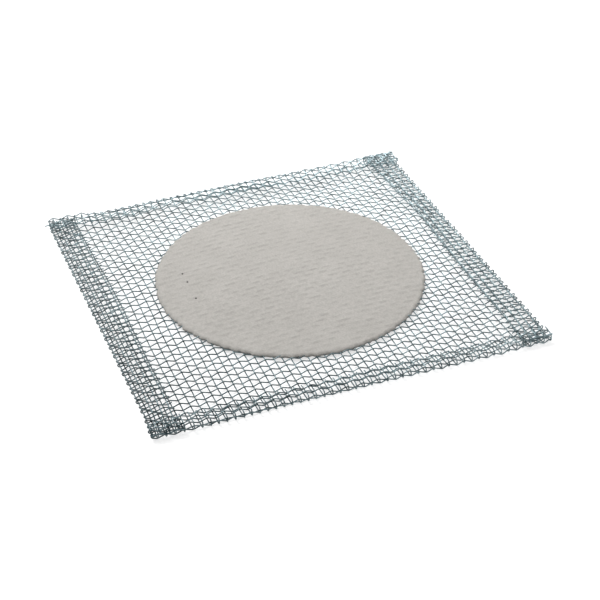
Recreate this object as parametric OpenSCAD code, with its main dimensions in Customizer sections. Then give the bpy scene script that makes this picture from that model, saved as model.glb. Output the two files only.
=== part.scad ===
// Square wire gauze with a round ceramic centre, for spreading heat under glassware.
// Plain weave: straight warp wires run front to back and crimped weft wires run left to right.
// All four edges are folded once over the top. The side hems are folded first, the end hems last.
// Millimetres. The origin is on the resting face, under the middle of the gauze, and +Z is up.

/* [Gauze] */
// Width over the side hems, along the weft wires
gauze_w = 150; // [110:1:190]
// Length over the end hems, along the warp wires
gauze_l = 146; // [110:0.5:190]
// Warp wires in the flat field between the side folds
field_warps = 51; // [37:2:61]
// Weft wires in the flat field between the end folds
field_wefts = 51; // [37:2:61]

/* [Wire] */
// Diameter of every wire
wire_d = 0.46; // [0.36:0.02:0.56]
// Clearance between two wires where they cross
cross_gap = 0.03; // [0.02:0.005:0.05]
// Clearance between the two layers of a hem
layer_gap = 0.15; // [0.1:0.01:0.3]

/* [Hems] */
// Warp wires held in each side hem
side_hem_warps = 4; // [2:1:6]
// Weft wires held in the front hem
front_hem_wefts = 3; // [2:1:5]
// Weft wires held in the back hem
back_hem_wefts = 4; // [2:1:5]
// Length of each cut end beyond the last wire that it crosses
cut_end = 0.9; // [0.5:0.1:1.2]
// Length of the one weft end that missed the fold and sticks out at the back left corner
stray_end = 1.2; // [0.5:0.1:3]

/* [Ceramic] */
// Diameter of the ceramic centre
disc_d = 100.8; // [70:0.1:104]
// Thickness of the ceramic, half of it above the middle of the mesh
disc_t = 2.2; // [2:0.1:4]
// Bevel around its top and bottom edges
disc_bevel = 0.2; // [0.1:0.05:0.3]
// How far the ceramic sits to the right of the middle of the gauze
disc_right = 1.5; // [-4:0.1:4]
// How far the ceramic sits behind the middle of the gauze
disc_back = 1.2; // [-4:0.1:4]

/* [Hidden] */
$fn = 16;
// A bent length is this much thicker than a straight one, as a wire swells where it is bent
swell = 1.05;
// Straight lengths run this far into the bends that they meet
lap = 0.04;
// Least straight length between a side fold and the bend over a warp beside it
fold_flat = 0.12;

// Places along a weft are whole micrometres, so that its mitred lengths meet face to face
function whole_um(v) = round(v * 1000) / 1000;

// Distance between the middles of two wires that cross
rise = wire_d + cross_gap;
// Height of the middle of the flat mesh
mesh_z = disc_t / 2;
// Side folds: bend radius, and the x of the bend's centre
side_r = wire_d + layer_gap / 2;
side_x = whole_um(gauze_w / 2 - side_r - swell * wire_d / 2);
// Warp pitch: the field starts half a pitch inside the left fold and ends beside the right fold,
// so that the two layers of each side hem lie half a pitch apart and nest
warp_pitch = 2 * whole_um((side_x - fold_flat / 2) / (field_warps - 0.5));
// Slope of a weft between two warps, and the height of its crests
slope = asin(2 * rise / warp_pitch);
crest = rise / cos(slope);
// End folds: three side fold radii keep the four layers of a corner evenly spaced
end_r = 3 * side_r;
end_y = gauze_l / 2 - end_r - crest - wire_d / 2 / cos(slope);
// Length of mesh that an end fold takes up
end_arc = PI * end_r;
// Room between the middles of two wefts whose crests face each other across an end hem
facing_room = wire_d + 2 * cross_gap;
// The outermost field wefts lie where the end folds begin. Where the second weft of the hem would
// then come down on them, they lie further in, clear of it.
weft_inset = 4 * end_y / (field_wefts - 1) - end_arc < facing_room ? facing_room : 0;
// y of the outermost field wefts, and the weft pitch
field_y = end_y - weft_inset;
weft_pitch = 2 * field_y / (field_wefts - 1);
disc_r = disc_d / 2;
// A channel through the ceramic clears its wire by a third of cross_gap, which leaves
// another third as the wall between two channels that cross
channel_r = wire_d / 2 + cross_gap / 3;
// Distance from the middle of a sloping length to where it touches the bend at a wire
half_leg = warp_pitch * cos(slope) / 2;

function field_x(k) = (k + 0.5) * warp_pitch - side_x;
// The first warp of each side hem lies above the field, and is named by its distance from the middle
right_hem_x = field_x(field_warps - 1.5);
left_hem_x = side_x - fold_flat;
function alternate(k) = k % 2 == 0 ? 1 : -1;
// Odd wefts pass over the field's first warp, even ones under it
function first_pass(j) = -alternate(j);
// How far the hem's last warp or weft lies inside the end fold
function end_hem_depth(count) = count * weft_pitch - weft_inset - end_arc;

// Each strip is a few neighbouring wires
warp_strips = 10;
weft_strips = 17;
function strip(count, strips, n) = [for (i = [0:count - 1]) if (floor(i * strips / count) == n - 1) i];

// ---- Lengths of wire, drawn in the XZ plane ----

// Straight length along X at height z
module run(x0, x1, z) {
    translate([min(x0, x1), 0, z])
        rotate([0, 90, 0])
            cylinder(d = wire_d, h = abs(x1 - x0));
}

// Bend about (x, z), anticlockwise from one angle to another
module bend(x, z, radius, from, to) {
    translate([x, 0, z])
        rotate([90, 0, 0])
            rotate([0, 0, from])
                rotate_extrude(angle = to - from)
                    translate([radius, 0])
                        circle(d = swell * wire_d);
}

// Bend over or under the wire at (x, z), from the slope on its left to level on its right
module crest_bend(x, z, over) {
    if (over > 0)
        bend(x, z, rise, 90, 90 + slope);
    else
        bend(x, z, rise, 270 - slope, 270);
}

// Sloping length whose middle is at (x, z), cut to a mitre on the middles of the two wires beside it.
// up is 1 where it rises to the right. A reach shorter than the mitre leaves a square end.
module leg(x, z, up, reach_left = warp_pitch, reach_right = warp_pitch) {
    intersection() {
        translate([x, 0, z])
            rotate([0, 90 - up * slope, 0])
                translate([0, 0, -reach_left])
                    cylinder(d = wire_d, h = reach_left + reach_right);
        translate([x, 0, z])
            cube([warp_pitch, 2 * wire_d, 4 * wire_d], center = true);
    }
}

// The weft from the outermost field warp, at field_end, round the side fold and back through the hem,
// whose first warp is at hem_start. over is 1 where it passes over the field warp, -1 where under it.
module folded_end(over, field_end, hem_start) {
    near = over * rise;
    flap_z = 2 * side_r;
    crest_bend(field_end, 0, over);
    run(field_end - lap, side_x + lap, near);
    bend(side_x, near + side_r, side_r, -90, 90);
    run(hem_start - lap, side_x + lap, flap_z + near);
    crest_bend(hem_start, flap_z, over);
    for (i = [0:side_hem_warps - 1])
        leg(
            hem_start - (i + 0.5) * warp_pitch, flap_z, over * alternate(i),
            reach_left = i < side_hem_warps - 1 ? warp_pitch : cut_end - warp_pitch / 2 / cos(slope),
            reach_right = i > 0 ? warp_pitch : half_leg + lap
        );
}

// A weft whose fold was missed: a straight end out past the edge
module stray(over, field_end) {
    crest_bend(field_end, 0, over);
    run(field_end - lap, gauze_w / 2 + stray_end, over * rise);
}

// A whole weft on a flat sheet. over is 1 where it passes over the leftmost field warp.
module weft(over, stray_left = false) {
    for (k = [0:field_warps - 2])
        leg(
            field_x(k + 0.5), 0, -over * alternate(k),
            reach_left = k > 0 ? warp_pitch : half_leg + lap,
            reach_right = k < field_warps - 2 ? warp_pitch : half_leg + lap
        );
    folded_end(over * alternate(field_warps - 1), field_x(field_warps - 1), right_hem_x);
    mirror([1, 0, 0])
        if (stray_left)
            stray(over, -field_x(0));
        else
            folded_end(over, -field_x(0), left_hem_x);
}

// Carries a weft to its place: s is its distance along the mesh beyond the start of an end fold.
// end is -1 for the front fold and 1 for the back fold.
module on_mesh(end, s) {
    turn = max(0, min(180, s / end_r * 180 / PI));
    inset = s < 0 ? -s : max(0, s - end_arc);
    translate([0, end * (end_y - inset), mesh_z + end_r])
        rotate([end * turn, 0, 0])
            translate([0, 0, -end_r])
                children();
}

// A whole warp at x, in the mesh (layer 0) or in the side hem (layer 1)
module warp(x, layer) {
    lift = 2 * side_r * layer;
    turn_r = end_r - lift;
    translate([x, 0, mesh_z])
        rotate([0, 0, 90]) {
            run(-end_y - lap, end_y + lap, lift);
            bend(end_y, end_r, turn_r, -90, 90);
            bend(-end_y, end_r, turn_r, 90, 270);
            run(end_y + lap, end_y - end_hem_depth(back_hem_wefts) - cut_end, end_r + turn_r);
            run(-end_y - lap, -end_y + end_hem_depth(front_hem_wefts) + cut_end, end_r + turn_r);
        }
}

// ---- Sub-parts ----

module weft_strip(n) {
    color("darkslategray")
        for (j = strip(field_wefts, weft_strips, n))
            on_mesh(-1, -j * weft_pitch - weft_inset)
                weft(first_pass(j));
}

module front_hem_wefts() {
    color("darkslategray")
        for (i = [1:front_hem_wefts])
            on_mesh(-1, i * weft_pitch - weft_inset)
                weft(first_pass(i));
}

module back_hem_wefts() {
    color("darkslategray")
        for (i = [1:back_hem_wefts])
            on_mesh(1, i * weft_pitch - weft_inset)
                weft(first_pass(field_wefts - 1 + i), stray_left = i == 1);
}

module warp_strip(n) {
    color("slategray")
        for (k = strip(field_warps, warp_strips, n))
            warp(field_x(k), 0);
}

module left_hem_warps() {
    color("slategray")
        for (i = [0:side_hem_warps - 1])
            warp(i * warp_pitch - left_hem_x, 1);
}

module right_hem_warps() {
    color("slategray")
        for (i = [0:side_hem_warps - 1])
            warp(right_hem_x - i * warp_pitch, 1);
}

// Straight channel for one warp through the ceramic. Its ridges are parallel to the wefts that
// cross it, which keeps the wall between the channels one thickness.
module warp_channel() {
    ridge = channel_r / cos(slope);
    shoulder = ridge - channel_r * tan(slope);
    rotate([90, 0, 0])
        linear_extrude(gauze_l, center = true)
            polygon([
                [0, ridge],
                [channel_r, shoulder],
                [channel_r, -shoulder],
                [0, -ridge],
                [-channel_r, -shoulder],
                [-channel_r, shoulder]
            ]);
}

// Zigzag channel for one weft through the ceramic, between field warps a and b
module weft_channel(over, a, b) {
    function edge(k, side) = [field_x(k), over * alternate(k) * crest + side * channel_r / cos(slope)];
    rotate([90, 0, 0])
        linear_extrude(2 * channel_r, center = true)
            polygon(concat([for (k = [a:b]) edge(k, 1)], [for (k = [b:-1:a]) edge(k, -1)]));
}

module ceramic_disc() {
    first_warp = floor((disc_right - disc_r - field_x(0)) / warp_pitch);
    last_warp = ceil((disc_right + disc_r - field_x(0)) / warp_pitch);
    first_weft = ceil((disc_back - disc_r + field_y) / weft_pitch);
    last_weft = floor((disc_back + disc_r + field_y) / weft_pitch);
    color("gainsboro")
        difference() {
            translate([disc_right, disc_back, 0])
                rotate_extrude($fn = 96)
                    polygon([
                        [0, 0],
                        [disc_r - disc_bevel, 0],
                        [disc_r, disc_bevel],
                        [disc_r, disc_t - disc_bevel],
                        [disc_r - disc_bevel, disc_t],
                        [0, disc_t]
                    ]);
            for (k = [first_warp:last_warp])
                translate([field_x(k), 0, mesh_z])
                    warp_channel();
            for (j = [first_weft:last_weft])
                translate([0, j * weft_pitch - field_y, mesh_z])
                    weft_channel(first_pass(j), first_warp, last_warp);
        }
}

ceramic_disc();
weft_strip(1);  // weft_strip_01
weft_strip(2);  // weft_strip_02
weft_strip(3);  // weft_strip_03
weft_strip(4);  // weft_strip_04
weft_strip(5);  // weft_strip_05
weft_strip(6);  // weft_strip_06
weft_strip(7);  // weft_strip_07
weft_strip(8);  // weft_strip_08
weft_strip(9);  // weft_strip_09
weft_strip(10);  // weft_strip_10
weft_strip(11);  // weft_strip_11
weft_strip(12);  // weft_strip_12
weft_strip(13);  // weft_strip_13
weft_strip(14);  // weft_strip_14
weft_strip(15);  // weft_strip_15
weft_strip(16);  // weft_strip_16
weft_strip(17);  // weft_strip_17
front_hem_wefts();
back_hem_wefts();
warp_strip(1);  // warp_strip_01
warp_strip(2);  // warp_strip_02
warp_strip(3);  // warp_strip_03
warp_strip(4);  // warp_strip_04
warp_strip(5);  // warp_strip_05
warp_strip(6);  // warp_strip_06
warp_strip(7);  // warp_strip_07
warp_strip(8);  // warp_strip_08
warp_strip(9);  // warp_strip_09
warp_strip(10);  // warp_strip_10
left_hem_warps();
right_hem_warps();
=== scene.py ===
# %% [markdown]
# # A wire gauze with a ceramic centre
# A gauze like this lies on a tripod over a burner, and its round ceramic centre spreads the heat under
# a flask. It is a square of plain-woven wire with all four edges folded over. Everything here is made
# in the frame of the loaded model, in metres, with +Z up and the origin under the middle of the gauze.
# Sizes are written in millimetres, and MM turns them into metres where a mesh is made.

# %% Load the frame
import math
import bpy
import numpy as np
from mathutils import Matrix, Vector


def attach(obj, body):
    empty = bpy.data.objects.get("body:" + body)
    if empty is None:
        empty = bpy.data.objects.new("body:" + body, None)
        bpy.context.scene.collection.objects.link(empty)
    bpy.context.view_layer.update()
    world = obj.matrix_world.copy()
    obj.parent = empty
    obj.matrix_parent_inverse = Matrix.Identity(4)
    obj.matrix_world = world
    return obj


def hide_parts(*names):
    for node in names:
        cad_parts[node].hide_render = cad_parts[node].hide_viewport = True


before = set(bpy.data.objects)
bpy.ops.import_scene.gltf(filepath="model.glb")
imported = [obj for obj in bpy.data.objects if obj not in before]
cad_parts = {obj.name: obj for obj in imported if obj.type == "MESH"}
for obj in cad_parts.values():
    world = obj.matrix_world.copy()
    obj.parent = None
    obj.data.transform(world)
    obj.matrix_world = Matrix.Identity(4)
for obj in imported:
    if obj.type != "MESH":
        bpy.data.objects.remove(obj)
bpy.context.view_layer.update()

scene = bpy.context.scene
MM = 0.001

# %% [markdown]
# ## The camera
# A camera is placed by a point, two angles and a small roll. A long lens a good half metre away keeps
# the square's sides nearly parallel. Building the rotation from its three axes avoids guessing Euler
# angles: a camera looks along its own -Z, with +X to the right and +Y up.

# %% Camera
CAMERA_MM = (-176.8, -469.1, 337.9)
AZIMUTH, ELEVATION, ROLL = math.radians(21.18), math.radians(34.63), math.radians(0.49)
LENS_MM = 95.57

level = math.cos(ELEVATION)
forward = Vector((math.sin(AZIMUTH) * level, math.cos(AZIMUTH) * level, -math.sin(ELEVATION)))
right = forward.cross(Vector((0, 0, 1))).normalized()
up = right.cross(forward)
right, up = right * math.cos(ROLL) - up * math.sin(ROLL), up * math.cos(ROLL) + right * math.sin(ROLL)
lens = bpy.data.cameras.new("studio_camera")
lens.lens = LENS_MM
camera = bpy.data.objects.new("studio_camera", lens)
turned_camera = Matrix((right, up, -forward)).transposed().to_4x4()
camera.matrix_world = Matrix.Translation(Vector(CAMERA_MM) * MM) @ turned_camera
scene.collection.objects.link(camera)
scene.camera = camera
print("camera at", [round(c, 3) for c in camera.location])

# %% [markdown]
# ## The sheet before it is folded
# The weave is easiest to describe flat. u runs along the crimped weft wires, v along the straight warp
# wires, and n is the height over the middle of the sheet. Wires that end up in a hem are simply wires
# with a larger u or v. Folding comes later, as a function of these three numbers.

# %% Sizes of the weave, in millimetres
WIDTH, LENGTH = 150.0, 146.0
WIRE = 0.46
WARP_PITCH, WEFT_PITCH = 2.937, 2.80
FIRST_WARP_U, FIRST_WEFT_V = -72.75, -70.0
FIELD_WARPS, SIDE_HEM = 51, 4
FIELD_WEFTS, FRONT_HEM, BACK_HEM = 51, 3, 4
# Length of each cut end beyond the last wire that it crosses
CUT_END = 1.7
# Height of a weft's crests over the middle of the sheet
CRIMP = 0.475
# Height of the middle of the sheet over the table
MESH_Z = 1.1
# The weave runs a little askew of the edges: how far the wefts drift along v for each step along u
OFF_THREAD = 0.0112
print("wires:", FIELD_WARPS + 2 * SIDE_HEM, "warps and", FIELD_WEFTS + FRONT_HEM + BACK_HEM, "wefts")

# %% [markdown]
# ## Folding an edge
# A hem folded over the top is a half turn about a line along the edge. One function serves for all
# four: past the start of the fold, distance becomes angle, and past half a turn the sheet comes back
# over itself. A bend modifier could do it too, but a function keeps the wires' order exact.

# %% Fold a distance and a height over an edge
def fold(along, height, centre, radius):
    past = np.abs(along) - centre
    turn = np.clip(past / radius, 0.0, math.pi)
    arm = radius - height
    folded = centre + arm * np.sin(turn) - np.maximum(past - math.pi * radius, 0.0)
    return np.sign(along) * np.where(past <= 0, np.abs(along), folded), radius - arm * np.cos(turn)


def smooth(value, low, high):
    t = np.clip((value - low) / (high - low), 0.0, 1.0)
    return t * t * (3 - 2 * t)


print("a point 1 mm past a fold of 1 mm:", [round(float(c), 2) for c in fold(1.0, 0.0, 0.0, 1.0)])

# %% [markdown]
# ## The side flaps
# The side hems are folded first, and tightly. No flap lies quite where its edge would put it: it slips a
# little over the mesh below, and springs up from its fold. The bend flattens part of the crimp.

# %% Side folds
SIDE_RADIUS = {"left": 0.48, "right": 0.55}
# How far each flap has slipped over the mesh below it, along x
SIDE_SLIP = {"left": -0.7, "right": 0.3}
# How steeply each flap springs up from its fold
SIDE_SPRING = {"left": 0.16, "right": 0.16}
# Share of the crimp that is left in the fold
FOLD_CRIMP = 0.5
# From a fold's own outermost line to the edge of the gauze
SIDE_ROOM, END_ROOM = 0.55, 0.75
# Where a corner starts and where it is whole, in distance from the middle of the gauze
CORNER_SPAN = (52, 64)


def by_side(u, values):
    return np.where(u < 0, values["left"], values["right"])


def side_radius(u, v):
    return by_side(u, SIDE_RADIUS) + 0.03 * np.sin(v * 0.21 + 1.0)


def fold_sides(u, v, n):
    """Turns flat u, v, n into x, v and the height over the middle of the flat mesh."""
    radius = side_radius(u, v)
    centre = WIDTH / 2 - SIDE_ROOM - radius
    turned = smooth(np.abs(u), centre, centre + math.pi * radius)
    n = n * (1 - (1 - FOLD_CRIMP) * 4 * turned * (1 - turned))
    x, h = fold(u, n, centre, radius)
    past = np.maximum(np.abs(u) - centre - math.pi * radius, 0)
    held_by_ends = smooth(np.abs(v), *CORNER_SPAN)
    return x + by_side(u, SIDE_SLIP) * turned, h + by_side(u, SIDE_SPRING) * past * (1 - held_by_ends), n


print("side hem, two layers apart by", [round(2 * float(side_radius(u, 0)), 2) for u in (-1, 1)])

# %% [markdown]
# ## The end flaps
# The end hems are folded over the side hems. They open wider at the corners, where they go round two
# layers, and between the corners each flap has slipped and tilted in its own way.

# %% End folds
END_RADIUS = {"front": 1.0, "back": 0.9}
CORNER_RADIUS = 1.6
# Where the fold starts to open for a corner, and where it is open
CORNER_OPENS = (52, 63)
# How far each flap has slipped along x and y
END_SLIP_X = {"front": 0.13, "back": -1.05}
END_SLIP_Y = {"front": 0.71, "back": 0.36}
# How steeply each flap springs up from its fold, or dips, below zero
END_SPRING = {"front": -0.07, "back": 0.03}


def by_end(v, values):
    return np.where(v < 0, values["front"], values["back"])


def end_radius(x, v):
    radius = by_end(v, END_RADIUS)
    wave = 0.04 * np.sin(x * 0.17) * (1 - smooth(np.abs(x), 45, 60))
    return radius + (CORNER_RADIUS - radius) * smooth(np.abs(x), *CORNER_OPENS) + wave


def fold_ends(x, v, h):
    """Turns x, v and the height over the middle of the flat mesh into x, y and z."""
    radius = end_radius(x, v)
    centre = LENGTH / 2 - END_ROOM - radius
    y, z = fold(v, h, centre, radius)
    past = np.abs(v) - centre - math.pi * radius
    between_corners = 1 - smooth(np.abs(x), *CORNER_SPAN)
    over = smooth(past, -math.pi / 2 * radius, 0) * between_corners
    z = z + by_end(v, END_SPRING) * np.maximum(past, 0) * between_corners
    return x + by_end(v, END_SLIP_X) * over, y + by_end(v, END_SLIP_Y) * over, z


print("end hem, two layers apart by", [round(2 * float(end_radius(x, -1)), 2) for x in (0, 70)])

# %% [markdown]
# ## Small faults of the mesh
# The ceramic sits a little high, so the mesh between it and the hems is pulled up and bowed, and it is
# pushed aside here and there, as pressing and handling a gauze may do. Each fault is a smooth bump that
# fades to nothing where it meets a fold, so no wire ever jumps. Moving points by hand could do this,
# but not for thousands of crossings at once.

# %% Pulls and pushes
# The ceramic is a little wider here than the disc in the frame, which has a radius of 50.4
DISC_CENTRE, DISC_R = (1.5, 1.2), 51.0
# Where the mesh is pushed aside: place, reach and push
PUSHES = (
    ((36, -36), 25, (-0.7, -0.3)),
    ((-54, 18), 18, (1.0, 0.3)),
    ((66, 24), 13, (1.5, 0.9)),
    ((-54, -30), 13, (0.0, -0.8)),
    ((36, 6), 25, (-0.4, -1.4)),
    ((6, 60), 18, (0.5, -0.3)),
)
PUSH_EVERYWHERE = (-0.15, -0.2)
# Where each fault starts to fade and where it is gone, from the middle of the disc, band or gauze
DISC_REACH, BAND_REACH = (50, 76), (10, 62)
PUSH_REACH_X, PUSH_REACH_Y = (60, 74), (60, 72)
BAND_X = -4


def near_disc(x, y):
    """One at the edge of the ceramic, falling to zero in the hems."""
    return 1 - smooth(np.hypot(x - DISC_CENTRE[0], y - DISC_CENTRE[1]), *DISC_REACH)


def middle_band(x):
    """One along the middle of the gauze, from front to back, falling to zero at its sides."""
    return 1 - smooth(np.abs(x - BAND_X), *BAND_REACH)


def pushed(x, y):
    """Sideways shift of the mesh at a point, fading to nothing at the folds."""
    inside = (1 - smooth(np.abs(x), *PUSH_REACH_X)) * (1 - smooth(np.abs(y), *PUSH_REACH_Y))
    shift_x, shift_y = PUSH_EVERYWHERE
    for (push_x, push_y), reach, (along_x, along_y) in PUSHES:
        share = np.exp(-((x - push_x) ** 2 + (y - push_y) ** 2) / (2 * reach**2))
        shift_x, shift_y = shift_x + share * along_x, shift_y + share * along_y
    return inside * shift_x, inside * shift_y


print("push in the middle of the right side:", [round(float(s), 2) for s in pushed(60, 0)])

# %% [markdown]
# ## Placing a point of the flat sheet
# Every wire is a row of u, v, n points, and this one function carries each of them to its place: the
# skew, the side folds, the end folds over them, and then the faults. Both front corners lean left.

# %% Place a point of the flat sheet
# How far the mesh bows back in its middle, and how much more for each millimetre towards the back
BOW, BOW_GROWTH = 0.7, 0.005
# How far the ceramic lifts the mesh, and how much more for each millimetre towards the back
LIFT, LIFT_GROWTH = 0.8, 0.009
# How far the ceramic shifts the mesh to the right
SHIFT = 0.35
# How far the whole mesh sinks, and how far the middle of the back edge rises
SINK, BACK_RISE = 0.3, 0.45
# How far each front corner leans to the left
LEAN_FRONT_LEFT, LEAN_FRONT_RIGHT = 0.9, 0.8
# Height of the middle of the ceramic where it crosses y = 0
DISC_Z = MESH_Z + 0.5


def place(u, v, n, unfolded_left=False):
    u, v, n = np.broadcast_arrays(u, v, n)
    v = v + OFF_THREAD * u
    x, h, n = fold_sides(u, v, n)
    if unfolded_left:
        x, h = np.where(u < 0, u, x), np.where(u < 0, n, h)
    x, y, z = fold_ends(x, v, h)
    near, middle, back = near_disc(x, y), middle_band(x), smooth(y, 60, 72)
    front_left = smooth(-y, 58, 71) * smooth(-x, 58, 74)
    front_right = smooth(-y, 60, 72) * smooth(x, 58, 74)
    shift_x, shift_y = pushed(x, y)
    x = x + shift_x + SHIFT * near - LEAN_FRONT_LEFT * front_left - LEAN_FRONT_RIGHT * front_right
    y = y + shift_y + (BOW + BOW_GROWTH * y) * middle * (1 - back)
    z = z + MESH_Z - SINK + (LIFT + LIFT_GROWTH * y) * near + BACK_RISE * middle * back
    return np.stack([x, y, z], -1)


print("back right corner at", place(75.0, 73.0, 0.0).round(2))

# %% [markdown]
# ## Where each wire runs
# A weft rises and falls over the warps by about its own thickness. A rounded triangle wave is closer to
# bent wire than a sine is: straight legs with short bends over each crossing. Warps stay nearly straight.
# Points are close together in the folds and outside the ceramic, and few inside it, where nothing shows.
# Each wire also drifts a little from its row, by a few slow waves drawn from its own fixed seed.

# %% Paths of the wires
WEAVE_PARITY = 1
# Steps from one warp to the next along a weft, and steps along a warp in a fold and elsewhere
WEFT_STEPS, FOLD_STEP, PLAIN_STEP = 10, 0.28, 0.7
# Distance along v, either way, between which a warp is in a fold
FOLD_ZONE = (69, 76.5)
# How far a wire drifts from its row, and the lengths of its slow waves
DRIFT, DRIFT_WAVES = 0.07, (11.0, 23.0, 47.0)
# One would be a sharp zigzag of straight legs, and less rounds its bends
SHARPNESS = 0.96
WARP_CRIMP = 0.02
# A weft end that missed the fold stops here
LOOSE_END_X = -76.1
# Wires that lie this far inside the rim of the ceramic don't show
HIDDEN_INSIDE = 2.5


def waver(seed, s, size):
    """A slow sideways drift along one wire, the same on every run."""
    rng = np.random.default_rng(seed)
    drift = rng.normal(0, 0.5) * np.ones_like(s)
    for wavelength in DRIFT_WAVES:
        drift = drift + rng.normal(0, 0.5) * np.sin(2 * math.pi * s / wavelength + rng.uniform(0, 6.3))
    return size * drift


def triangle_wave(t):
    return np.arcsin(SHARPNESS * np.cos(math.pi * t)) / math.asin(SHARPNESS)


def thin_out(points, keep):
    inside = np.hypot(points[:, 0] - DISC_CENTRE[0], points[:, 1] - DISC_CENTRE[1]) < DISC_R - HIDDEN_INSIDE
    return points[~inside | keep]


def weft_path(j, unfolded_left=False):
    low = -SIDE_HEM - CUT_END / WARP_PITCH
    high = FIELD_WARPS - 1 + SIDE_HEM + CUT_END / WARP_PITCH
    if unfolded_left:
        low = (LOOSE_END_X - FIRST_WARP_U) / WARP_PITCH
    inner = np.arange(math.ceil(low * WEFT_STEPS), math.floor(high * WEFT_STEPS) + 1) / WEFT_STEPS
    t = np.concatenate([[low], inner, [high]])
    u = FIRST_WARP_U + t * WARP_PITCH
    sign = 1 if (j + WEAVE_PARITY) % 2 == 0 else -1
    n = sign * CRIMP * triangle_wave(t)
    v = FIRST_WEFT_V + j * WEFT_PITCH + waver(1000 + j, u, DRIFT)
    points = place(u, v, n, unfolded_left)
    return thin_out(points, np.isclose(t * 2, np.round(t * 2)))


def warp_path(k):
    low = FIRST_WEFT_V - FRONT_HEM * WEFT_PITCH - CUT_END
    high = FIRST_WEFT_V + (FIELD_WEFTS - 1 + BACK_HEM) * WEFT_PITCH + CUT_END
    v = [low]
    while v[-1] < high - 0.1:
        v.append(v[-1] + (FOLD_STEP if FOLD_ZONE[0] < abs(v[-1]) < FOLD_ZONE[1] else PLAIN_STEP))
    v = np.array(v[:-1] + [high])
    j = (v - FIRST_WEFT_V) / WEFT_PITCH
    sign = 1 if (k + WEAVE_PARITY) % 2 == 0 else -1
    n = -sign * WARP_CRIMP * np.cos(math.pi * j)
    u = FIRST_WARP_U + k * WARP_PITCH + waver(2000 + k, v, DRIFT)
    points = place(u, v, n)
    return thin_out(points, np.arange(len(v)) % 4 == 0)


print("points on one weft:", len(weft_path(0)), "and on one warp:", len(warp_path(0)))

# %% [markdown]
# ## From paths to wire
# Each strip is one curve object with a straight-segment spline per wire. Geometry Nodes sweep a circle
# along every spline, so one tree with two named sizes makes all of the wire in the gauze. A curve's own
# bevel would do as well, but the tree also sets the finish and can be reused with other sizes.

# %% The sweep
def wire_tree():
    tree = bpy.data.node_groups.new("sweep_wire", "GeometryNodeTree")
    face = tree.interface
    face.new_socket("Path", in_out="INPUT", socket_type="NodeSocketGeometry")
    size = face.new_socket("Wire Radius", in_out="INPUT", socket_type="NodeSocketFloat")
    sides = face.new_socket("Sides", in_out="INPUT", socket_type="NodeSocketInt")
    finish = face.new_socket("Finish", in_out="INPUT", socket_type="NodeSocketMaterial")
    face.new_socket("Wire", in_out="OUTPUT", socket_type="NodeSocketGeometry")
    node, link = tree.nodes.new, tree.links.new
    given, made = node("NodeGroupInput"), node("NodeGroupOutput")
    circle, sweep = node("GeometryNodeCurvePrimitiveCircle"), node("GeometryNodeCurveToMesh")
    soft, real = node("GeometryNodeSetShadeSmooth"), node("GeometryNodeRealizeInstances")
    coat = node("GeometryNodeSetMaterial")
    link(given.outputs["Sides"], circle.inputs["Resolution"])
    link(given.outputs["Wire Radius"], circle.inputs["Radius"])
    link(given.outputs["Path"], sweep.inputs["Curve"])
    link(circle.outputs["Curve"], sweep.inputs["Profile Curve"])
    sweep.inputs["Fill Caps"].default_value = True
    link(sweep.outputs["Mesh"], soft.inputs["Geometry"])
    link(soft.outputs["Geometry"], real.inputs["Geometry"])
    link(real.outputs["Geometry"], coat.inputs["Geometry"])
    link(given.outputs["Finish"], coat.inputs["Material"])
    link(coat.outputs["Geometry"], made.inputs["Wire"])
    return tree, {"radius": size.identifier, "sides": sides.identifier, "finish": finish.identifier}


sweep_tree, sweep_inputs = wire_tree()
print("tree inputs:", sweep_inputs)

# %% [markdown]
# ## Tools for the finishes
# Both finishes are mixed from the same few nodes: noise for mottling and grain, a ramp between two
# colours, a bump and some arithmetic. Small functions keep the two recipes short and readable.

# %% Shader helpers
def ramp_between(tree, factor, dark, light, low=0.35, high=0.65):
    ramp = tree.nodes.new("ShaderNodeValToRGB")
    for end, position, colour in zip(ramp.color_ramp.elements, (low, high), (dark, light)):
        end.position, end.color = position, (*colour, 1)
    tree.links.new(factor, ramp.inputs["Fac"])
    return ramp.outputs["Color"]


def noise(tree, coordinates, scale, detail=3.0):
    made = tree.nodes.new("ShaderNodeTexNoise")
    made.inputs["Scale"].default_value = scale
    made.inputs["Detail"].default_value = detail
    tree.links.new(coordinates, made.inputs["Vector"])
    return made.outputs["Fac"]


def bump(tree, height, strength, distance):
    made = tree.nodes.new("ShaderNodeBump")
    made.inputs["Strength"].default_value = strength
    made.inputs["Distance"].default_value = distance
    tree.links.new(height, made.inputs["Height"])
    return made.outputs["Normal"]


def math_node(tree, kind, a, b=None):
    made = tree.nodes.new("ShaderNodeMath")
    made.operation = kind
    for socket, value in zip(made.inputs, (a, b)):
        if value is None:
            continue
        if isinstance(value, (int, float)):
            socket.default_value = value
        else:
            tree.links.new(value, socket)
    return made.outputs[0]


print("helpers:", ramp_between.__name__, noise.__name__, bump.__name__, math_node.__name__)

# %% [markdown]
# ## The finish of the wire
# Galvanised wire is dull grey zinc over steel, with soft glints along its top. Two sizes of noise in
# object space mottle the colour and the roughness, and a third makes the fine bump of the zinc. The
# colour also gets brighter to the right, to the back and upwards. That slope is painted light and
# shade, darker at the front left and on the lower layers. It stands in for uneven light that lamps would
# give more truly, and it is not the zinc's own colour. For an even finish, set BRIGHTER_TOWARDS to zeros
# and BRIGHTNESS to about 1.1, its mean over all of the wire.

# %% Galvanised wire
ZINC_DARK, ZINC_LIGHT = (0.08, 0.10, 0.105), (0.27, 0.325, 0.34)
# Painted light and shade: share of brightness gained per metre along x, y and z, and the share at the
# origin
BRIGHTER_TOWARDS, BRIGHTNESS = (4.6, 4.4, 140.0), 0.86
# Added to the colour at the end, for the blue cast of zinc
COOLER = (-0.014, 0.0, 0.005)
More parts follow.
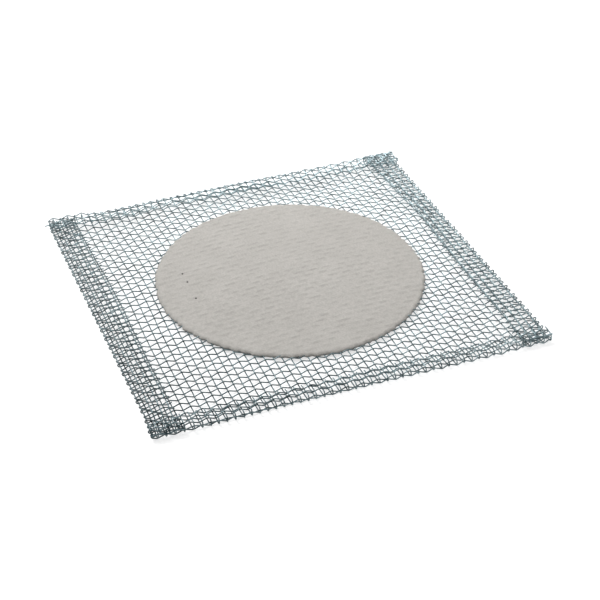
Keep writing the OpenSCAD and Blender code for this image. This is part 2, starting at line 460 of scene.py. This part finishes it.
# Scales of the noise in the colour, the roughness and the bump
MOTTLE, GRAIN, FINE = 320, 1500, 6000
ZINC_ROUGH = (0.22, 0.45)


def galvanised(name):
    finish = bpy.data.materials.new(name)
    finish.use_nodes = True
    tree = finish.node_tree
    shader = tree.nodes["Principled BSDF"]
    spot = tree.nodes.new("ShaderNodeTexCoord").outputs["Object"]
    # Painted light and shade: the zinc's colour is scaled by a slope in place, brighter to the back right
    # and upwards
    along = tree.nodes.new("ShaderNodeVectorMath")
    along.operation = "DOT_PRODUCT"
    along.inputs[1].default_value = BRIGHTER_TOWARDS
    tree.links.new(spot, along.inputs[0])
    brighter = tree.nodes.new("ShaderNodeVectorMath")
    brighter.operation = "MULTIPLY_ADD"
    tree.links.new(ramp_between(tree, noise(tree, spot, MOTTLE), ZINC_DARK, ZINC_LIGHT), brighter.inputs[0])
    tree.links.new(math_node(tree, "ADD", along.outputs["Value"], BRIGHTNESS), brighter.inputs[1])
    brighter.inputs[2].default_value = COOLER
    tree.links.new(brighter.outputs[0], shader.inputs["Base Color"])
    rough = tree.nodes.new("ShaderNodeMapRange")
    rough.inputs["To Min"].default_value, rough.inputs["To Max"].default_value = ZINC_ROUGH
    tree.links.new(noise(tree, spot, GRAIN), rough.inputs["Value"])
    tree.links.new(rough.outputs["Result"], shader.inputs["Roughness"])
    tree.links.new(bump(tree, noise(tree, spot, FINE), 0.25, 0.00003), shader.inputs["Normal"])
    shader.inputs["Metallic"].default_value = 0.75
    return finish


weft_finish, warp_finish = galvanised("galvanised_weft"), galvanised("galvanised_warp")
print("finishes:", weft_finish.name, warp_finish.name)

# %% [markdown]
# ## From a strip of wires to one piece
# The solids of the frame come in strips of a few wires, and each strip is replaced by one piece. The
# curve and its modifier are only a means: the swept result is copied out as a plain mesh, and the
# piece's object stays at the origin with its place in its mesh, so it can ride on the body.

# %% Make one piece from several wires
# The wire is as thick as WIRE across its corners, and a little thinner across its flats
WIRE_SIDES = 8


def wire_piece(name, node_name, paths, finish):
    curve = bpy.data.curves.new(name + "_paths", "CURVE")
    curve.dimensions = "3D"
    for points in paths:
        spline = curve.splines.new("POLY")
        spline.points.add(len(points) - 1)
        flat = np.concatenate([points * MM, np.ones((len(points), 1))], 1)
        spline.points.foreach_set("co", flat.ravel())
    guide = bpy.data.objects.new(name + "_guide", curve)
    scene.collection.objects.link(guide)
    sweep = guide.modifiers.new("sweep", "NODES")
    sweep.node_group = sweep_tree
    sweep[sweep_inputs["radius"]] = WIRE / 2 * MM
    sweep[sweep_inputs["sides"]] = WIRE_SIDES
    sweep[sweep_inputs["finish"]] = finish
    seen = guide.evaluated_get(bpy.context.evaluated_depsgraph_get())
    mesh = bpy.data.meshes.new_from_object(seen)
    bpy.data.objects.remove(guide)
    bpy.data.curves.remove(curve)
    mesh.name = name
    piece = bpy.data.objects.new(name, mesh)
    scene.collection.objects.link(piece)
    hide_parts(node_name)
    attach(piece, "root")
    return len(mesh.polygons)


def strip(count, strips, n):
    """The wires of the n-th strip, when count wires are dealt out to that many strips."""
    return [i for i in range(count) if i * strips // count == n - 1]


print("wires in the first weft strip:", strip(FIELD_WEFTS, 17, 1))

# %% [markdown]
# ## The weft wires
# Seventeen strips of three wires cover the flat field, and the wefts caught in the front and back hems
# make two more pieces. The first weft of the back hem has the end that missed the fold.

# %% The weft wires
WEFT_STRIPS = 17
faces = 0
for n in range(1, WEFT_STRIPS + 1):
    paths = [weft_path(j) for j in strip(FIELD_WEFTS, WEFT_STRIPS, n)]
    faces += wire_piece(f"wefts_{n:02d}", f"weft_strip_{n:02d}", paths, weft_finish)
front = [weft_path(-i) for i in range(1, FRONT_HEM + 1)]
faces += wire_piece("wefts_front_hem", "front_hem_wefts", front, weft_finish)
back = [weft_path(FIELD_WEFTS - 1 + i, unfolded_left=(i == 1)) for i in range(1, BACK_HEM + 1)]
faces += wire_piece("wefts_back_hem", "back_hem_wefts", back, weft_finish)
print("weft faces:", faces)

# %% [markdown]
# ## The warp wires
# The warps run the other way in ten strips of about five, with four more in each side hem. They go
# through both end folds, so each warp ends on top of the mesh, at the front and at the back.

# %% The warp wires
WARP_STRIPS = 10
faces = 0
for n in range(1, WARP_STRIPS + 1):
    paths = [warp_path(k) for k in strip(FIELD_WARPS, WARP_STRIPS, n)]
    faces += wire_piece(f"warps_{n:02d}", f"warp_strip_{n:02d}", paths, warp_finish)
left = [warp_path(-i) for i in range(1, SIDE_HEM + 1)]
faces += wire_piece("warps_left_hem", "left_hem_warps", left, warp_finish)
right = [warp_path(FIELD_WARPS - 1 + i) for i in range(1, SIDE_HEM + 1)]
faces += wire_piece("warps_right_hem", "right_hem_warps", right, warp_finish)
print("warp faces:", faces)

# %% [markdown]
# ## The marks on the ceramic
# The ceramic is pressed onto the mesh as a wet paste, and each crest of a weft under its skin leaves
# one short, faint mark. The rows of marks bow and drift a little. The marks are real relief in the
# mesh, and an attribute tells the finish where to paint shade on the skin just in front of each, on the
# side that the lamp behind leaves dark, because the shading of relief this low hardly shows by itself.
# A bump map alone would vanish from the shape.

# %% Where the wires show through
# Each crest lifts the skin a little, and painted shade darkens the skin this far in front of the lift
MARK_HEIGHT, MARK_BEHIND = 0.085, 0.35
MARK_WIDTH, MARK_TILT = 0.62, 0.1
# Distance from the middle at which the drift of the marks is given
DRIFT_AT = 50


def marks_drift(x, y):
    """How far the marks have moved from the even rows of the weave, along x and y."""
    p, q = x / DRIFT_AT, y / DRIFT_AT
    drift_x = -1.5 + q - 1.15 * (p * p + q * q) + 0.35 * p * q
    drift_y = 1.2 + 0.9 * p + 0.8 * q - 2.3 * p * p - 1.4 * q * q + 0.2 * p * q
    return drift_x, drift_y


def nearest_crest(x, y):
    """Distance along and across the weft from the nearest crest, and which crest it is."""
    drift_x, drift_y = marks_drift(x, y)
    row = (y - drift_y + OFF_THREAD * x - FIRST_WEFT_V) / WEFT_PITCH
    weft = np.round(row).astype(int)
    column = (x - drift_x - FIRST_WARP_U) / (2 * WARP_PITCH) + 0.5 * (weft % 2)
    crest = np.round(column).astype(int)
    return (column - crest) * 2 * WARP_PITCH, (row - weft) * WEFT_PITCH, weft, crest


def wire_marks(x, y, seed):
    """How strongly the wire under each point shows, about one on a crest."""
    along, across, weft, crest = nearest_crest(x, y)
    rng = np.random.default_rng(seed)
    table = (FIELD_WEFTS + 2, FIELD_WARPS // 2 + 3)
    strength = np.clip(rng.normal(1, 0.4, table), 0.25, 1.8)[weft, crest]
    length = np.clip(rng.normal(1.9, 0.3, table), 1.2, 2.5)[weft, crest]
    along = along - rng.normal(0, 0.25, table)[weft, crest]
    across = across - rng.normal(0, 0.1, table)[weft, crest] - MARK_TILT * along
    return strength * np.exp(-((across / MARK_WIDTH) ** 2)) * np.exp(-((along / length) ** 4))


print("mark beside the middle:", round(float(wire_marks(1.5, 1.2, 41)), 2))

# %% [markdown]
# ## The ceramic centre
# The paste is not cut or turned, so it has no machined edge. It thins out at the rim, where its outline
# wanders between the wires. A polar grid of points with a height rule gives the top, the rim and the
# underside at once, closed, with as many points as the marks need. A cylinder would be too perfect.

# %% Shape of the ceramic
# Half thickness in the middle and at the rim, and the width over which it thins. The whole is 1.7 thick
# in its middle, where the disc in the frame is 2.2
COAT, RIM_THICK, RIM_SLOPE = 0.85, 0.3, 1.2
TOP_RINGS, LOW_RINGS, SPOKES = 130, 60, 500
# Size of the rim's slow waves, of its crumbs, and of the pull of the wires on it
RIM_WAVE, CRUMB, WIRE_PULL = 0.11, 0.22, 0.28


def disc_middle(y):
    return DISC_Z + LIFT_GROWTH * y


def cling(x, y):
    """How near a point is to a wire: one on it, minus one in the middle of a hole."""
    over_warp = np.cos(2 * math.pi * (x - SHIFT - FIRST_WARP_U) / WARP_PITCH)
    row = y - BOW * middle_band(x) + OFF_THREAD * x - FIRST_WEFT_V
    return np.maximum(over_warp, np.cos(2 * math.pi * row / WEFT_PITCH))


def rim():
    """Distance of the rim from the middle at each spoke: slow waves, crumbs and the pull of the wires."""
    angle = np.arange(SPOKES) * 2 * math.pi / SPOKES
    rng = np.random.default_rng(7)
    edge = DISC_R + np.zeros(SPOKES)
    for waves in (2, 5, 9, 17, 31, 58, 97):
        edge += rng.normal(0, RIM_WAVE) * np.sin(waves * angle + rng.uniform(0, 6.3))
    crumbs = np.tile(rng.normal(0, CRUMB, SPOKES), 3)
    edge += np.convolve(crumbs, (0.3, 0.4, 0.3), "same")[SPOKES:2 * SPOKES]
    x, y = DISC_CENTRE[0] + DISC_R * np.cos(angle), DISC_CENTRE[1] + DISC_R * np.sin(angle)
    return edge + WIRE_PULL * cling(x, y)


def ceramic_side(edge, rings, up):
    """Points of the top (up = 1) or the underside (up = -1), ring by ring from the middle out."""
    angle = np.arange(SPOKES) * 2 * math.pi / SPOKES
    share = np.linspace(0, 1, rings + 1)[1:] ** 0.8
    radius = share[:, None] * edge[None, :]
    x = DISC_CENTRE[0] + radius * np.cos(angle)
    y = DISC_CENTRE[1] + radius * np.sin(angle)
    inward = np.clip((edge[None, :] - radius) / RIM_SLOPE, 0, 1)
    thin = inward * (2 - inward)
    slow = 0.03 * np.sin(x / 6.1 + 1) * np.sin(y / 7.3) + 0.02 * np.sin(x / 2.3) * np.sin(y / 1.9 + 2)
    # The underside shows the other half of the crests
    crest_x = x if up > 0 else x + WARP_PITCH
    lifted = wire_marks(crest_x, y - MARK_BEHIND, 40 + up) * thin
    # Painted shade: the colour of the skin is darkened on the front side of each lift, away from the lamp
    # behind
    shaded = wire_marks(crest_x, y, 40 + up) * thin
    height = RIM_THICK + (COAT - RIM_THICK + slow) * thin + MARK_HEIGHT * lifted
    return np.stack([x, y, disc_middle(y) + up * height], -1).reshape(-1, 3), shaded.ravel()


def ceramic():
    edge = rim()
    middle = np.array([[*DISC_CENTRE, disc_middle(DISC_CENTRE[1])]])
    points, shade, faces, start = [], [], [], 0
    for rings, up in ((TOP_RINGS, 1), (LOW_RINGS, -1)):
        side, shaded = ceramic_side(edge, rings, up)
        points += [middle + [[0, 0, up * COAT]], side]
        shade += [[0.0], shaded]
        for s in range(SPOKES):
            e = (s + 1) % SPOKES
            ends = (s, e) if up > 0 else (e, s)
            faces.append((start, start + 1 + ends[0], start + 1 + ends[1]))
            for r in range(rings - 1):
                a, b = start + 1 + r * SPOKES, start + 1 + (r + 1) * SPOKES
                faces.append((a + ends[0], b + ends[0], b + ends[1], a + ends[1]))
        start += 1 + rings * SPOKES
    top_rim, low_rim = 1 + (TOP_RINGS - 1) * SPOKES, start - SPOKES
    for s in range(SPOKES):
        e = (s + 1) % SPOKES
        faces.append((top_rim + s, low_rim + s, low_rim + e, top_rim + e))
    mesh = bpy.data.meshes.new("ceramic_centre")
    mesh.from_pydata((np.concatenate(points) * MM).tolist(), [], faces)
    mesh.polygons.foreach_set("use_smooth", [True] * len(mesh.polygons))
    mesh.attributes.new("wire_mark", "FLOAT", "POINT").data.foreach_set("value", np.concatenate(shade))
    return mesh


disc_mesh = ceramic()
print("ceramic faces:", len(disc_mesh.polygons))

# %% [markdown]
# ## The finish of the ceramic
# Unglazed ceramic is matte and warm grey. A slow mottling and fine grain keep it from looking like
# plastic, painted shade darkens the marks over the wires, and there are three dark specks in its top.
# All of it comes from places in object space and from the attribute of the marks, so nothing has to be
# unwrapped.

# %% Unglazed ceramic
CERAMIC_DARK, CERAMIC_LIGHT = (0.423, 0.406, 0.38), (0.456, 0.439, 0.412)
# Painted shade on the front side of each mark, multiplied into the colour
MARK_PAINTED_SHADE = (0.925, 0.925, 0.925)
SPECK_COLOUR = (0.03, 0.028, 0.025)
SPECKS, SPECK_R = ((-36.42, 16.53), (-36.35, 10.64), (-36.74, -0.67)), 0.38


def tinted(tree, kind, factor, a, b):
    """Mixes colour b into colour a, where each of them is a socket or a plain colour."""
    made = tree.nodes.new("ShaderNodeMix")
    made.data_type, made.blend_type = "RGBA", kind
    for socket, value in (("Factor", factor), ("A", a), ("B", b)):
        if isinstance(value, tuple):
            made.inputs[socket].default_value = (*value, 1)
        elif isinstance(value, float):
            made.inputs[socket].default_value = value
        else:
            tree.links.new(value, made.inputs[socket])
    return made.outputs["Result"]


def speck_mask(tree, spot):
    """One on the dark specks in the top face, zero elsewhere."""
    apart = tree.nodes.new("ShaderNodeSeparateXYZ")
    tree.links.new(spot, apart.inputs[0])
    specks = None
    for speck in SPECKS:
        off = None
        for axis, centre in zip("XY", speck):
            away = math_node(tree, "SUBTRACT", apart.outputs[axis], centre * MM)
            away = math_node(tree, "POWER", away, 2.0)
            off = away if off is None else math_node(tree, "ADD", off, away)
        one = math_node(tree, "LESS_THAN", off, (SPECK_R * MM) ** 2)
        specks = one if specks is None else math_node(tree, "MAXIMUM", specks, one)
    on_top = math_node(tree, "GREATER_THAN", apart.outputs["Z"], DISC_Z * MM)
    return math_node(tree, "MULTIPLY", specks, on_top)


def unglazed():
    finish = bpy.data.materials.new("unglazed_ceramic")
    finish.use_nodes = True
    tree = finish.node_tree
    shader = tree.nodes["Principled BSDF"]
    spot = tree.nodes.new("ShaderNodeTexCoord").outputs["Object"]
    mark_shade = tree.nodes.new("ShaderNodeAttribute")
    mark_shade.attribute_name = "wire_mark"
    colour = ramp_between(tree, noise(tree, spot, 90, 5), CERAMIC_DARK, CERAMIC_LIGHT, 0.3, 0.7)
    # Painted shade over the marks, as strong as the attribute of the marks
    colour = tinted(tree, "MULTIPLY", mark_shade.outputs["Fac"], colour, MARK_PAINTED_SHADE)
    grain = ramp_between(tree, noise(tree, spot, 1500, 3), (0.88,) * 3, (1.08,) * 3, 0.3, 0.7)
    colour = tinted(tree, "MULTIPLY", 1.0, colour, grain)
    colour = tinted(tree, "MIX", speck_mask(tree, spot), colour, SPECK_COLOUR)
    tree.links.new(colour, shader.inputs["Base Color"])
    tree.links.new(bump(tree, noise(tree, spot, 1500, 4), 0.6, 0.00005), shader.inputs["Normal"])
    shader.inputs["Roughness"].default_value = 0.85
    shader.inputs["Specular IOR Level"].default_value = 0.3
    return finish


disc = bpy.data.objects.new("ceramic_centre", disc_mesh)
scene.collection.objects.link(disc)
disc_mesh.materials.append(unglazed())
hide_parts("ceramic_disc")
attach(disc, "root")
print("ceramic finish:", disc_mesh.materials[0].name)

# %% [markdown]
# ## The table
# A pale table keeps a faint shadow under the gauze. It adds some light of its own, for the camera and
# for reflections alone, which makes it look white, directly and in the wire, without lighting the
# ceramic from below.

# %% Table
TABLE_HALF, TABLE_GREY, TABLE_GLOW = 3, 0.56, 0.66
corners = [(-TABLE_HALF, -TABLE_HALF, 0), (TABLE_HALF, -TABLE_HALF, 0),
           (TABLE_HALF, TABLE_HALF, 0), (-TABLE_HALF, TABLE_HALF, 0)]
table_mesh = bpy.data.meshes.new("table_top")
table_mesh.from_pydata(corners, [], [(0, 1, 2, 3)])
table = bpy.data.objects.new("table_top", table_mesh)
scene.collection.objects.link(table)
paper = bpy.data.materials.new("pale_table")
paper.use_nodes = True
tree = paper.node_tree
tree.nodes.clear()
diffuse, glow = tree.nodes.new("ShaderNodeBsdfDiffuse"), tree.nodes.new("ShaderNodeEmission")
both, out = tree.nodes.new("ShaderNodeAddShader"), tree.nodes.new("ShaderNodeOutputMaterial")
path = tree.nodes.new("ShaderNodeLightPath")
diffuse.inputs["Color"].default_value = (TABLE_GREY, TABLE_GREY, TABLE_GREY, 1)
seen = math_node(tree, "MAXIMUM", path.outputs["Is Camera Ray"], path.outputs["Is Glossy Ray"])
seen = math_node(tree, "MAXIMUM", seen, path.outputs["Is Transmission Ray"])
tree.links.new(math_node(tree, "MULTIPLY", seen, TABLE_GLOW), glow.inputs["Strength"])
tree.links.new(diffuse.outputs[0], both.inputs[0])
tree.links.new(glow.outputs[0], both.inputs[1])
tree.links.new(both.outputs[0], out.inputs["Surface"])
table_mesh.materials.append(paper)
print("table:", [2 * TABLE_HALF] * 2, "m")

# %% [markdown]
# ## The light
# One large soft lamp stands behind the gauze, a weak wide one fills in from the front right, and a
# small low one puts glints on the back hem. The sky is dim overhead and white at the horizon, where it
# shows as the backdrop in low views but lights the table very little.

# %% Lamps and sky
# Name, place in metres, diameter in metres, watts
LAMPS = (
    ("key_lamp", (-0.4, 0.7, 1.2), 0.7, 15),
    ("fill_lamp", (0.9, -0.5, 1.0), 1.2, 3),
    ("back_lamp", (0.11, 0.28, 0.15), 0.22, 0.5),
)
# Height of a direction in the sky, and the sky's brightness up to it and from it on
HORIZON, OVERHEAD = (0.19, 1.0), (0.34, 0.29)

for name, place_m, size, watts in LAMPS:
    data = bpy.data.lights.new(name, "AREA")
    data.shape, data.size, data.energy = "DISK", size, watts
    lamp = bpy.data.objects.new(name, data)
    lamp.location = place_m
    lamp.rotation_euler = (-Vector(place_m)).to_track_quat("-Z", "Y").to_euler()
    lamp.visible_camera = False
    scene.collection.objects.link(lamp)
world = bpy.data.worlds.new("studio")
scene.world = world
world.use_nodes = True
tree = world.node_tree
apart, sky = tree.nodes.new("ShaderNodeSeparateXYZ"), tree.nodes.new("ShaderNodeMapRange")
tree.links.new(tree.nodes.new("ShaderNodeTexCoord").outputs["Generated"], apart.inputs[0])
tree.links.new(apart.outputs["Z"], sky.inputs["Value"])
sky.interpolation_type = "SMOOTHSTEP"
sky.inputs["From Min"].default_value, sky.inputs["To Min"].default_value = HORIZON
sky.inputs["From Max"].default_value, sky.inputs["To Max"].default_value = OVERHEAD
tree.nodes["Background"].inputs["Color"].default_value = (1, 1, 1, 1)
tree.links.new(sky.outputs["Result"], tree.nodes["Background"].inputs["Strength"])
scene.view_settings.view_transform = "Standard"
